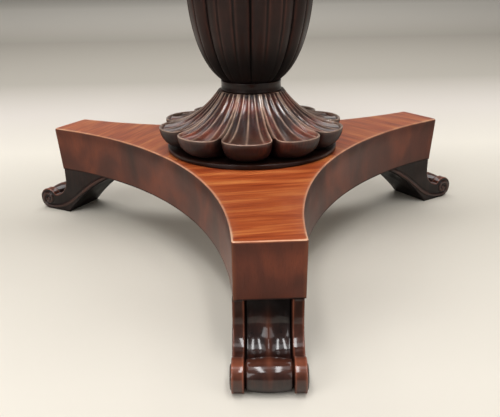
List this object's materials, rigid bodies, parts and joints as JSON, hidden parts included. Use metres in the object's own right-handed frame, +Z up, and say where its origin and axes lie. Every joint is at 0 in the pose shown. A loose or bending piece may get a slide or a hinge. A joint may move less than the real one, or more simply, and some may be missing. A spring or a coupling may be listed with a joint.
{
  "type": "occasional table",
  "caption": "Round-topped occasional table: lobed baluster stem with a carved petal collar on a concave-sided platform with scroll feet.",
  "frame": {"origin": "on the floor, on the stem's axis, under the middle of the top", "axes": "+Z up the stem; -Y along the front arm; the other arms at 30 and 150 degrees from +X"},
  "size_m": [0.6, 0.6, 0.6987],
  "materials": {
    "pine": "sawn and planed pine, unpolished",
    "beech": "bare beech",
    "turned_mahogany": "turned mahogany, dark stained and polished",
    "carved_mahogany": "carved mahogany, dark stained and polished",
    "figured_veneer": "figured mahogany veneer, polished",
    "edge_veneer": "mahogany edge veneer, polished and darkened",
    "table_top_mahogany": "polished solid mahogany",
    "iron": "dull iron"
  },
  "bodies": {
    "root": {"platform_core": "pine", "bearer_block": "pine", "bearer_left": "pine", "bearer_right": "pine", "plinth_disc": "turned_mahogany", "neck_ring": "turned_mahogany", "upper_ring": "turned_mahogany", "capital": "turned_mahogany", "petal_collar": "carved_mahogany", "lobed_vase": "carved_mahogany", "tenon_wedge": "beech", "table_top": "table_top_mahogany", "top_veneer_front": "figured_veneer", "end_veneer_front": "edge_veneer", "scroll_foot_front": "carved_mahogany", "foot_dowel_front_a": "beech", "foot_dowel_front_b": "beech", "top_veneer_right": "figured_veneer", "end_veneer_right": "edge_veneer", "scroll_foot_right": "carved_mahogany", "foot_dowel_right_a": "beech", "foot_dowel_right_b": "beech", "top_veneer_left": "figured_veneer", "end_veneer_left": "edge_veneer", "scroll_foot_left": "carved_mahogany", "foot_dowel_left_a": "beech", "foot_dowel_left_b": "beech", "side_veneer_right": "edge_veneer", "side_veneer_back": "edge_veneer", "side_veneer_left": "edge_veneer", "block_screw_1": "iron", "block_screw_2": "iron", "block_screw_3": "iron", "block_screw_4": "iron", "bearer_left_screw_1": "iron", "bearer_left_screw_2": "iron", "bearer_left_screw_3": "iron", "bearer_right_screw_1": "iron", "bearer_right_screw_2": "iron", "bearer_right_screw_3": "iron"}
  },
  "joints": []
}
